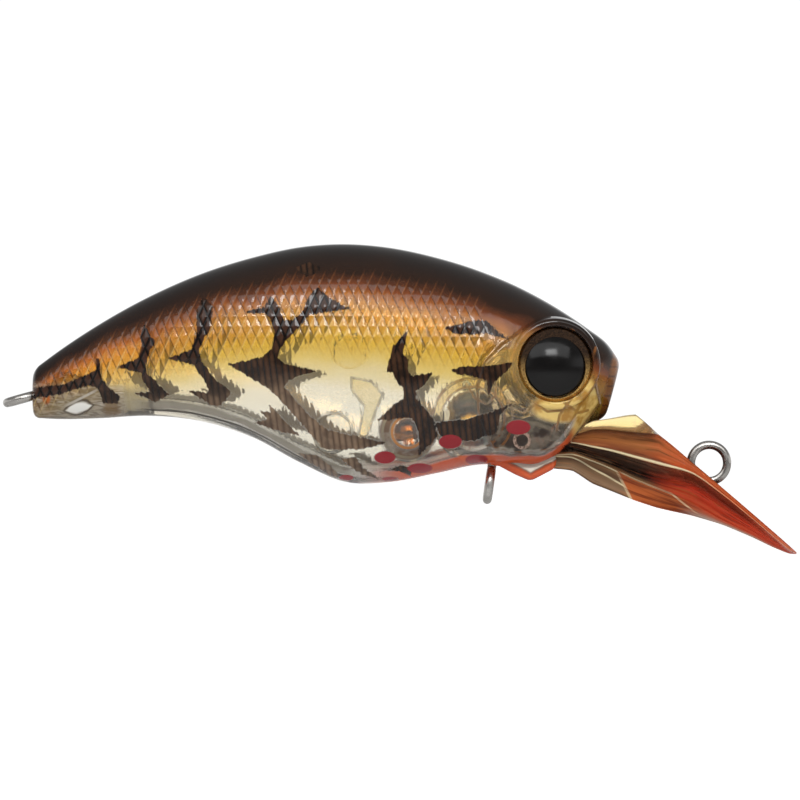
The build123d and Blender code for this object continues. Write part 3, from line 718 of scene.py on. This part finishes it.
def candy_paint():
    """Clear shell sprayed with candy colours: near-black back, copper, gold, clear belly, dark marks."""
    s = Shader("candy_paint")
    where = s.place()
    drop = s.attribute("drop")
    soft = s.noise(where, 0.35, 2.0)
    grain = s.noise(where, 0.9, 2.0)
    grit = s.noise(s.stretch(where, (2.0, 2.0, 0.45)), 2.2, 3.0, 0.6)
    uneven = s.math("MULTIPLY_ADD", soft, 1.6)
    uneven.node.inputs[2].default_value = -0.8
    depth = s.math("DIVIDE", s.plus(drop, uneven), 20.0, clamp=True)
    paint = s.ramp(depth, [
        (0.0, "1a1716"), (0.04, "211a17"), (0.125, "2e1c12"), (0.155, "5a321e"), (0.185, "8a4a28"),
        (0.22, "c07838"), (0.28, "e4a244"), (0.325, "dc9c3c"), (0.375, "eab63e"), (0.42, "eec450"),
        (0.48, "f0d480"), (0.54, "f3e2b0"), (0.61, "f5edd8"), (0.72, "f0ece0"), (1.0, "e4e0d6"),
    ])
    along = s.axis(where, "X")
    tail = s.remap(along, -38.0, -50.0)
    amber = s.ramp(depth, [
        (0.0, "1a1716"), (0.1, "241712"), (0.155, "4a2a1a"), (0.215, "b26024"), (0.28, "dc8c2e"),
        (0.38, "e6b24c"), (0.46, "efd48a"), (0.54, "f4e8cc"), (1.0, "e6e2d8"),
    ])
    paint = s.mix(tail, paint, amber)
    head = s.remap(s.attribute("gill"), -0.25, 0.35)
    resin = s.ramp(depth, [
        (0.0, "1a1614"), (0.1, "221712"), (0.15, "5a3620"), (0.2, "c48848"), (0.3, "eec068"),
        (0.46, "f2d48c"), (0.54, "e8d2a4"), (0.62, "dccab0"), (1.0, "dcccb4"),
    ])
    paint = s.mix(head, paint, resin)
    high = s.axis(where, "Z")
    block = s.times(s.remap(along, -48.0, -49.0), s.remap(high, 6.9, 6.2))
    flow = s.noise(s.stretch(where, (0.5, 1.0, 2.4)), 0.9, 3.0)
    resin_tail = s.ramp(flow, [
        (0.3, "3a2c20"), (0.42, "8a7660"), (0.5, "b8ab98"), (0.58, "6a5642"), (0.7, "d8cfc0"),
    ])
    paint = s.mix(s.times(block, 0.8), paint, resin_tail)
    post = s.times(s.seam(along, -49.7, 0.9), s.seam(high, 4.6, 0.9))
    paint = s.mix(s.times(post, 0.8), paint, "94744a")
    # Painted highlight at the tail: a bright teardrop with a painted dark edge round it.
    across = s.plus(along, 52.4)
    rise = s.minus(high, s.times(across, 0.2))
    length = s.math("POWER", s.times(across, 0.85), 2.0)
    height = s.math("ABSOLUTE", s.times(s.minus(rise, 4.6), 2.1))
    tear = s.plus(length, height)
    tear = s.plus(tear, s.times(s.minus(flow, 0.5), 0.9))
    paint = s.mix(s.times(s.seam(tear, 1.15, 0.3), 0.75), paint, "4a3a2c")
    teardrop_highlight = s.remap(tear, 1.1, 0.6)
    paint = s.mix(teardrop_highlight, paint, "f8f6f0")
    # Painted glint: a thin pale line sloping up above the teardrop.
    strand_glint = s.seam(s.minus(high, s.times(across, 0.5)), 5.3, 0.16)
    strand_glint = s.times(strand_glint, s.seam(across, 0.2, 1.8))
    paint = s.mix(s.times(strand_glint, 0.8), paint, "ece4d4")
    ember = s.remap(s.reach(where, (-55.1, 5.35), (0.35, 0.5)), 1.2, 0.5)
    paint = s.mix(ember, paint, "dc7428")
    lean = s.times(high, SCALE_LEAN)
    rising = s.ridges(s.plus(along, lean), SCALE_PITCH)
    falling = s.ridges(s.minus(along, lean), SCALE_PITCH)
    lattice = s.math("MINIMUM", rising, falling)
    scaly = s.times(s.remap(depth, 0.1, 0.2), s.remap(depth, 0.5, 0.36))
    flank = s.times(s.remap(along, -18.2, -19.6), scaly)
    # Painted shade and painted highlight on the scales: darker along one set of grooves, lighter along the
    # other, as if lit from one side.
    groove_shade = s.times(flank, s.remap(rising, 0.45, 0.05, 0.0, 0.72))
    paint = s.mix(groove_shade, paint, "5c3010")
    gleam = s.times(flank, s.remap(falling, 0.45, 0.05, 0.0, 0.5))
    paint = s.mix(gleam, paint, s.mix(s.remap(depth, 0.2, 0.3), "a8683a", "f4d692"))
    nose_band = s.minus(along, s.times(high, 0.266))
    cheek = s.times(head, s.seam(nose_band, -11.5, 1.3))
    cheek = s.times(cheek, s.remap(depth, 0.2, 0.3))
    cheek = s.larger(cheek, s.remap(s.reach(where, (-12.4, 4.6), (2.7, 1.3)), 1.15, 0.75))
    gold = s.mix(s.remap(grain, 0.35, 0.62), "b8863c", "f0cf7c")
    paint = s.mix(cheek, paint, gold)
    jaw = s.remap(s.reach(where, (-15.7, 2.0), (3.0, 1.5)), 1.15, 0.8)
    jaw = s.times(jaw, s.remap(grain, 0.3, 0.6, 0.6, 1.0))
    paint = s.mix(jaw, paint, "2c1c12")
    shade = s.seam(s.reach(where, POCKET, (2.0, 2.0)), 0.95, 0.35)
    shade = s.times(shade, s.remap(grain, 0.3, 0.6, 0.55, 1.0))
    paint = s.mix(shade, paint, "6b5548")
    ridge = s.times(s.seam(s.attribute("ridge"), 0.0, 0.16), s.remap(grain, 0.35, 0.6, 0.25, 0.8))
    paint = s.mix(ridge, paint, s.mix(s.remap(along, -26.0, -22.0), "8c8470", "7c4c24"))
    boss = s.seam(s.reach(where, THROAT_PIN, (1.0, 1.0)), 0.62, 0.18)
    boss = s.times(boss, s.remap(grit, 0.35, 0.6, 0.2, 0.9))
    paint = s.mix(boss, paint, "d4b09c")
    rim = s.seam(s.reach(where, POCKET, (1.0, 1.0)), 1.3, 0.18)
    paint = s.mix(rim, paint, "b07848")
    nose = s.remap(nose_band, -10.6, -10.2)
    rungs = s.remap(s.ridges(high, 0.8), 0.1, 0.5, 0.45, 1.0)
    paint = s.mix(nose, paint, s.mix(rungs, "3c2214", "7c4c20"))
    lift = s.attribute("lift")
    throat = s.times(s.remap(along, -30.0, -25.0), s.remap(along, -11.0, -12.0))
    edge = s.plus(lift, s.times(uneven, 0.5))
    flash = s.times(throat, s.remap(edge, 1.15, 0.8))
    paint = s.mix(flash, paint, "d85a30")
    # Painted highlight: a pale cream line just above the orange flash along the throat.
    pale = s.times(throat, s.seam(edge, 1.35, 0.35))
    pale = s.minus(pale, jaw, clamp=True)
    paint = s.mix(pale, paint, "fff4e4")
    rear = s.times(s.remap(along, -49.0, -46.0), s.remap(along, -27.0, -31.0))
    # Painted shade: a grey band along the belly's lower edge, where the clear edge looks dark.
    border = s.times(rear, s.seam(edge, 1.0, 0.45))
    paint = s.mix(border, paint, "8c8476")
    low = s.plus(lift, s.times(uneven, 0.15))
    line = s.times(rear, s.seam(low, 0.55, 0.13))
    paint = s.mix(line, paint, "3c352c")
    ragged = s.math("MULTIPLY_ADD", grit, 0.5)
    ragged.node.inputs[2].default_value = -0.22
    mark = s.remap(s.plus(s.attribute("mark"), ragged), -0.08, 0.03)
    upright = s.plus(along, s.times(high, RIB_LEAN))
    stripes = s.ridges(upright, 0.5)
    stripes = s.times(stripes, s.remap(grain, 0.35, 0.65, 0.3, 1.0))
    thin = s.times(s.remap(depth, 0.52, 0.68), s.remap(along, -26.0, -30.0))
    dark = s.mix(stripes, s.mix(thin, "0c0604", "4c3a2e"), s.mix(thin, "422b1c", "846c56"))
    dark = s.mix(flank, dark, s.mix(s.remap(lattice, 0.15, 0.7), "0a0504", "3c261c"))
    seen_inside = s.node("ShaderNodeNewGeometry").outputs["Backfacing"]
    dark = s.mix(seen_inside, dark, "9c8a72")
    paint = s.mix(mark, paint, dark)
    spot = s.remap(s.attribute("spot"), -0.03, 0.06)
    paint = s.mix(spot, paint, "8e1f27")
    bare = s.attribute("bare")
    paint = s.mix(bare, paint, "f4f1e8")
    s.set(Base_Color=paint)

    density = s.ramp(depth, [
        (0.0, 0.96), (0.1, 0.92), (0.17, 0.6), (0.25, 0.34),
        (0.4, 0.2), (0.55, 0.1), (0.7, 0.05), (1.0, 0.04),
    ])
    density = s.mix(s.times(head, s.remap(depth, 0.36, 0.5)), density, (0.05, 0.05, 0.05, 1.0))
    layers = (
        (cheek, 0.75), (jaw, 0.65), (shade, 0.6), (boss, 0.7), (rim, 0.7), (border, 0.55), (line, 0.75),
        (block, s.remap(teardrop_highlight, 0.0, 1.0, 0.5, 0.8)), (ridge, 0.6),
        (mark, s.remap(thin, 0.0, 1.0, 0.97, 0.85)), (nose, 0.7), (flash, 0.7), (pale, 0.2), (spot, 0.92),
    )
    for layer, strength in layers:
        density = s.larger(density, s.times(layer, strength))
    density = s.times(density, s.minus(1.0, bare))
    s.set(Transmission_Weight=s.minus(1.0, density, clamp=True))
    s.set(IOR=1.47, Roughness=s.remap(s.noise(where, 1.7, 2.0), 0.2, 0.8, 0.02, 0.06))
    s.set(Specular_IOR_Level=0.3)
    rippled = s.times(lattice, flank)
    ribs = s.ridges(upright, RIB_PITCH)
    low_flank = s.times(s.remap(depth, 0.34, 0.5), s.remap(along, -18.2, -19.6))
    rippled = s.plus(rippled, s.times(s.times(ribs, 0.09), low_flank))
    rippled = s.plus(rippled, s.times(s.noise(where, 4.0, 3.0), 0.15))
    s.bump(s.times(rippled, s.minus(1.0, bare)), 0.4, 0.1)
    return s.material


def clear_moulding(name, bending, dark, light):
    """Clear plastic inside the body, with slight flow ripples."""
    s = Shader(name)
    where = s.place()
    s.set(Base_Color=s.mix(s.noise(where, 0.6), light, dark))
    s.set(Transmission_Weight=1.0, IOR=bending)
    s.set(Roughness=s.remap(s.noise(where, 2.0), 0.3, 0.7, 0.01, 0.06))
    s.bump(s.noise(where, 1.2, 2.0), 0.25, 0.06)
    return s.material


def chin_paint():
    """Clear chin with an orange flash along its lower edges and a painted highlight, a pale cream line, above
    it.
    """
    s = Shader("chin_paint")
    where = s.place()
    slope = s.times(s.math("ABSOLUTE", s.plus(s.axis(where, "X"), 14.92)), 0.5)
    above = s.minus(s.plus(s.axis(where, "Z"), 1.5), slope)
    above = s.plus(above, s.times(s.minus(s.noise(where, 0.9), 0.5), 0.3))
    # The pale stops from 0.43 to 0.6 are a painted highlight above the orange.
    shade = s.ramp(s.math("DIVIDE", above, 2.0, clamp=True), [
        (0.0, "c84e26"), (0.22, "d45a2c"), (0.31, "b04e2c"), (0.36, "8a7060"), (0.43, "fff4e2"),
        (0.6, "fff8ec"), (0.75, "e6d8c0"), (1.0, "d8ccb6"),
    ])
    s.set(Base_Color=shade, IOR=1.4)
    s.set(Transmission_Weight=s.remap(above, 0.6, 0.9, 0.12, 0.6))
    s.set(Roughness=s.remap(s.noise(where, 2.0), 0.3, 0.7, 0.03, 0.08))
    s.bump(s.noise(where, 2.5), 0.15, 0.04)
    return s.material


def lip_amber():
    """Clear amber lip: gold top facet, brown flank, painted cream highlight along the rim, painted shade on
    the underside, orange-red tip.
    """
    s = Shader("lip_amber")
    where = s.place()
    along = s.axis(where, "X")
    strip = s.attribute("strip")
    fan = s.node("ShaderNodeCombineXYZ")
    s.join(s.times(strip, 4.0), fan.inputs[0])
    s.join(s.times(along, 0.16), fan.inputs[1])
    streak = s.noise(fan.outputs[0], 1.5, 3.0)
    band = s.math("DIVIDE", strip, 5.0, clamp=True)
    # The darker band across the middle of these ramps is painted shade on the lip's underside.
    neck = s.ramp(band, [
        (0.0, "fff0b8"), (0.18, "fbe29a"), (0.2, "4e3020"), (0.24, "7a4a2c"), (0.3, "a06438"),
        (0.36, "8e5034"), (0.42, "342b28"), (0.55, "211c1b"), (0.7, "302622"), (0.76, "96704e"),
        (0.86, "5c4434"), (0.9, "7c6048"), (0.97, "a08064"), (1.0, "4a3424"),
    ])
    front = s.ramp(band, [
        (0.0, "c4643a"), (0.2, "c4663c"), (0.38, "c0552e"), (0.42, "7c3624"), (0.52, "5a261c"),
        (0.62, "d84c34"), (0.8, "de5838"), (0.88, "be6c52"), (0.95, "c4a898"), (1.0, "e6dcd2"),
    ])
    tip = s.ramp(band, [
        (0.0, "c05a40"), (0.38, "cc6242"), (0.5, "d05238"), (0.75, "bc4a38"), (1.0, "c48c78"),
    ])
    ragged = s.times(s.minus(streak, 0.5), 5.0)
    reach = s.plus(along, ragged)
    tint = s.mix(s.remap(reach, -6.0, -2.0), neck, front)
    tint = s.mix(s.remap(reach, 2.5, 6.5), tint, tip)
    sides = s.remap(strip, 1.0, 1.2)
    tint = s.mix(s.times(sides, s.remap(streak, 0.56, 0.7, 0.0, 0.45)), tint, "c47a48")
    tint = s.mix(s.times(sides, s.remap(streak, 0.44, 0.32, 0.0, 0.5)), tint, "2c1d16")
    # Painted highlight: a cream line along the rim.
    rim = s.seam(strip, 2.0, 0.09)
    slant = s.plus(along, s.times(s.axis(where, "Z"), 0.52))
    stem = s.remap(slant, -7.9, -8.2)
    keel = s.minus(s.remap(strip, 3.9, 4.0), stem, clamp=True)
    keel = s.times(keel, s.remap(along, 0.0, -3.0))
    tint = s.mix(keel, tint, s.mix(s.remap(streak, 0.35, 0.65), "7c3a24", "d0703e"))
    # Painted highlights: cream lines along the stem and keel, at the joint and on the crest, mixed in below
    # with the rim in the highlight colour.
    sloped = s.minus(strip, s.times(along, 0.073))
    lines = s.larger(s.seam(strip, 4.0, 0.07), s.seam(sloped, 5.04, 0.06))
    lines = s.times(lines, stem)
    joint_highlight = s.times(s.seam(slant, -8.1, 0.16), s.remap(strip, 3.9, 4.9, 0.35, 0.8))
    joint_highlight = s.times(joint_highlight, s.remap(strip, 3.9, 4.0))
    light = s.mix(s.remap(along, -3.0, 2.0), "fff0c4", "ee9a68")
    bend = s.times(s.larger(s.plus(along, 3.2), 0.0), 0.35)
    crest_highlight = s.seam(s.minus(strip, bend), 3.92, 0.1)
    crest_highlight = s.times(crest_highlight, s.times(s.remap(slant, -8.0, -7.6), s.remap(along, 0.0, -2.0)))
    lines = s.larger(s.larger(lines, joint_highlight), crest_highlight)
    lines = s.times(lines, s.remap(streak, 0.35, 0.6, 0.3, 0.9))
    tint = s.mix(s.larger(rim, lines), tint, light)
    # Painted shade: a dark line along the top edge, where the clear edge looks dark.
    tint = s.mix(s.times(s.seam(strip, 0.0, 0.13), 0.85), tint, "4a2e1a")
    s.set(Base_Color=tint)
    solid = s.remap(along, -5.0, 4.0, 0.55, 0.8)
    solid = s.times(solid, sides)
    s.set(Transmission_Weight=s.minus(0.95, solid, clamp=True))
    s.set(IOR=1.1, Roughness=s.remap(streak, 0.3, 0.7, 0.01, 0.05))
    s.bump(streak, 0.3, 0.08)
    return s.material


def drawn_steel():
    """Stainless wire with drawing scratches and slightly dull patches."""
    s = Shader("drawn_steel")
    where = s.place()
    patches = s.noise(where, 1.3, 3.0)
    s.set(Base_Color=s.mix(patches, "8d8985", "c9c6c1"), Metallic=1.0)
    s.set(Roughness=s.remap(patches, 0.3, 0.7, 0.18, 0.36))
    s.bump(s.noise(s.stretch(where, (1.0, 1.0, 6.0)), 6.0, 2.0), 0.2, 0.02)
    return s.material


def iris_gold():
    """Dark brown-gold ring round the pupil, finely brushed."""
    s = Shader("iris_gold")
    where = s.place()
    grain = s.noise(where, 7.0, 3.0)
    low = s.remap(s.axis(where, "Z"), 9.2, 6.6)
    s.set(Base_Color=s.mix(low, s.mix(grain, "1c110a", "4a3018"), s.mix(grain, "9a6c34", "dcb468")))
    s.set(Metallic=0.75)
    s.set(Roughness=s.remap(grain, 0.3, 0.7, 0.22, 0.4), Coat_Weight=0.6, Coat_Roughness=0.03)
    s.bump(grain, 0.15, 0.02)
    return s.material


def pupil_black():
    """Deep black resin dome."""
    s = Shader("pupil_black")
    where = s.place()
    s.set(Base_Color=s.mix(s.noise(where, 0.8), "050505", "0e0b0a"))
    s.set(Roughness=s.remap(s.noise(where, 1.5), 0.3, 0.7, 0.14, 0.2), Specular_IOR_Level=0.25)
    s.bump(s.noise(where, 5.0), 0.03, 0.02)
    return s.material


def ballast_grey():
    """Dull grey cast weight."""
    s = Shader("ballast_grey")
    where = s.place()
    grain = s.noise(where, 5.0, 5.0, 0.7)
    s.set(Base_Color=s.mix(grain, "2a231f", "4c423b"), Metallic=0.2)
    s.set(Roughness=s.remap(grain, 0.3, 0.7, 0.45, 0.7))
    s.bump(grain, 0.4, 0.05)
    return s.material


def ball_metal(name, dark, light):
    """Polished bearing ball with faint swirl marks."""
    s = Shader(name)
    where = s.place()
    swirl = s.noise(where, 2.4, 3.0)
    s.set(Base_Color=s.mix(swirl, dark, light), Metallic=1.0)
    s.set(Roughness=s.remap(swirl, 0.3, 0.7, 0.06, 0.16))
    s.bump(swirl, 0.06, 0.02)
    return s.material


def stage_white():
    """Pale studio floor; painted light: it glows, the more the further it lies behind the lure, so that the
    background reads white.
    """
    s = Shader("stage_white")
    where = s.place()
    s.set(Base_Color=s.mix(s.noise(where, 0.02), "e9e9e8", "f4f4f3"), Roughness=0.6)
    s.set(Emission_Color=(1.0, 1.0, 1.0, 1.0))
    s.set(Emission_Strength=s.remap(s.axis(where, "Y"), 120.0, 560.0, 0.0, 0.75))
    return s.material


# ---- assembly -------------------------------------------------------------------------------------
def dress(obj, material):
    """Material and finish slot of a new piece, which rides on the lure."""
    obj.data.materials.clear()
    obj.data.materials.append(material)
    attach(obj, "lure")
    return obj


def repaint(node, material):
    """Better material on a kept CAD piece."""
    for index in range(len(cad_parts[node].material_slots)):
        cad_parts[node].material_slots[index].material = material


PAINT = candy_paint()
CLEAR = clear_moulding("clear_moulding", 1.36, "e6d09c", "f4e8c8")
FAINT = clear_moulding("welded_moulding", 1.03, "faf7f0", "fefdfa")
RIB = clear_moulding("rib_moulding", 1.12, "f0e4c0", "faf2dc")
for name, side in (("right", -1), ("left", 1)):
    shell = dress(body_half(f"painted_shell_{name}", side), PAINT)
    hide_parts(f"body_half_{name}")
    dress(brow_ring(f"brow_ring_{name}", side), PAINT)
for tube in (
    moulded_tube("rattle_chamber", CHAMBER, CHAMBER_OUTER, CHAMBER_INNER, 4.6),
    moulded_tube("rattle_pocket", POCKET, POCKET_OUTER, POCKET_INNER, POCKET_HALF_LENGTH),
    moulded_tube("throat_pin", THROAT_PIN, 0.78, 0.4, 3.9),
    moulded_tube("jaw_boss", (-16.6, 5.8), 1.0, 0.55, 4.4),
):
    dress(keep_inside(tube), CLEAR)
for index, (place, reach) in enumerate(((POSTS[0], 5.4), (POSTS[1], 4.2))):
    post = moulded_post(f"pin_post_{index}", place, POST_RADIUS, reach)
    dress(keep_inside(post), FAINT)
rib = bevelled_plate("stiffening_rib", RIB_OUTLINE, 4.4, 0.15)
dress(keep_inside(rib), RIB)
dress(bevelled_plate("chin_keel", CHIN_OUTLINE, 2.0, 0.45, 4), chin_paint())

blade = dress(lip_blade(), lip_amber())
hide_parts("diving_lip")
STEEL = drawn_steel()
for wire in ("line_tie_wire", "belly_hook_hanger", "tail_hook_hanger"):
    repaint(wire, STEEL)
IRIS = iris_gold()
PUPIL = pupil_black()
for side in ("right", "left"):
    repaint(f"{side}_eye_ring", IRIS)
    dome = dress(pupil(f"pupil_{side}", -1 if side == "right" else 1), PUPIL)
    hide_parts(f"{side}_eye_dome")
repaint("throat_ballast", ballast_grey())
repaint("belly_rattle_ball", ball_metal("brass_polished", "b0703a", "d99a58"))
repaint("chamber_ball", ball_metal("steel_polished", "d8ccb0", "f6ecd4"))


# ---- stage, light and camera ----------------------------------------------------------------------
def metres(*values):
    return Vector(values) * MM


FLOOR = -70.0
CAMERA_DISTANCE = 0.5          # metres
SENSOR = 36.0
FRAME_WIDTH = 0.06667          # metres of the scene across the picture, at the lure


def studio_floor():
    """A wide pale floor that turns up far away."""
    rings = [(0.0, FLOOR), (600.0, FLOOR), (1500.0, FLOOR), (2600.0, FLOOR + 5), (3400.0, FLOOR + 40)]
    floor = lathe("studio_floor", rings, np.zeros(3), np.array([0, 0, 1.0]), np.array([1.0, 0, 0]),
                  np.array([0, 1.0, 0]), 96, closed=False)
    floor.data.materials.append(stage_white())


def panel(name, place, size, power):
    """A soft rectangular light that faces the lure."""
    light = bpy.data.lights.new(name, "AREA")
    light.shape = "RECTANGLE"
    light.size = size[0] * MM
    light.size_y = size[1] * MM
    light.energy = power
    holder = bpy.data.objects.new(name, light)
    bpy.context.scene.collection.objects.link(holder)
    holder.location = metres(*place)
    aim = metres(-25, 0, 6) - holder.location
    holder.rotation_euler = aim.to_track_quat("-Z", "Y").to_euler()


def studio_world():
    """White behind the lure, darker above and behind the camera, so that clear edges pick up contrast."""
    world = bpy.data.worlds.new("studio")
    bpy.context.scene.world = world
    world.use_nodes = True
    tree = world.node_tree
    split = tree.nodes.new("ShaderNodeSeparateXYZ")
    tree.links.new(tree.nodes.new("ShaderNodeTexCoord").outputs["Generated"], split.inputs[0])
    product = tree.nodes.new("ShaderNodeMath")
    product.operation = "MULTIPLY"
    ranges = (("Z", 0.18, 0.42, 1.05, 0.35), ("Y", -0.85, -0.35, 0.25, 1.0))
    for index, (axis, low, high, at_low, at_high) in enumerate(ranges):
        part = tree.nodes.new("ShaderNodeMapRange")
        part.interpolation_type = "SMOOTHSTEP"
        for socket, value in (("From Min", low), ("From Max", high), ("To Min", at_low), ("To Max", at_high)):
            part.inputs[socket].default_value = value
        tree.links.new(split.outputs[axis], part.inputs["Value"])
        tree.links.new(part.outputs["Result"], product.inputs[index])
    tree.links.new(product.outputs[0], tree.nodes["Background"].inputs["Color"])


def camera():
    """Long lens, square on to the lure's right side."""
    data = bpy.data.cameras.new("camera")
    holder = bpy.data.objects.new("camera", data)
    bpy.context.scene.collection.objects.link(holder)
    data.sensor_width = SENSOR
    data.lens = SENSOR * CAMERA_DISTANCE / FRAME_WIDTH
    data.clip_start = 0.01
    data.clip_end = 20.0
    holder.location = (-0.02575, -CAMERA_DISTANCE, 0.00525)
    holder.rotation_euler = (math.pi / 2, 0.0, 0.0)
    bpy.context.scene.camera = holder


studio_floor()
studio_world()
panel("key", (-20, -290, 260), (760, 230), 1.2)
panel("glint", (15, -300, 210), (150, 80), 0.45)
camera()
bpy.context.scene.view_settings.view_transform = "Standard"
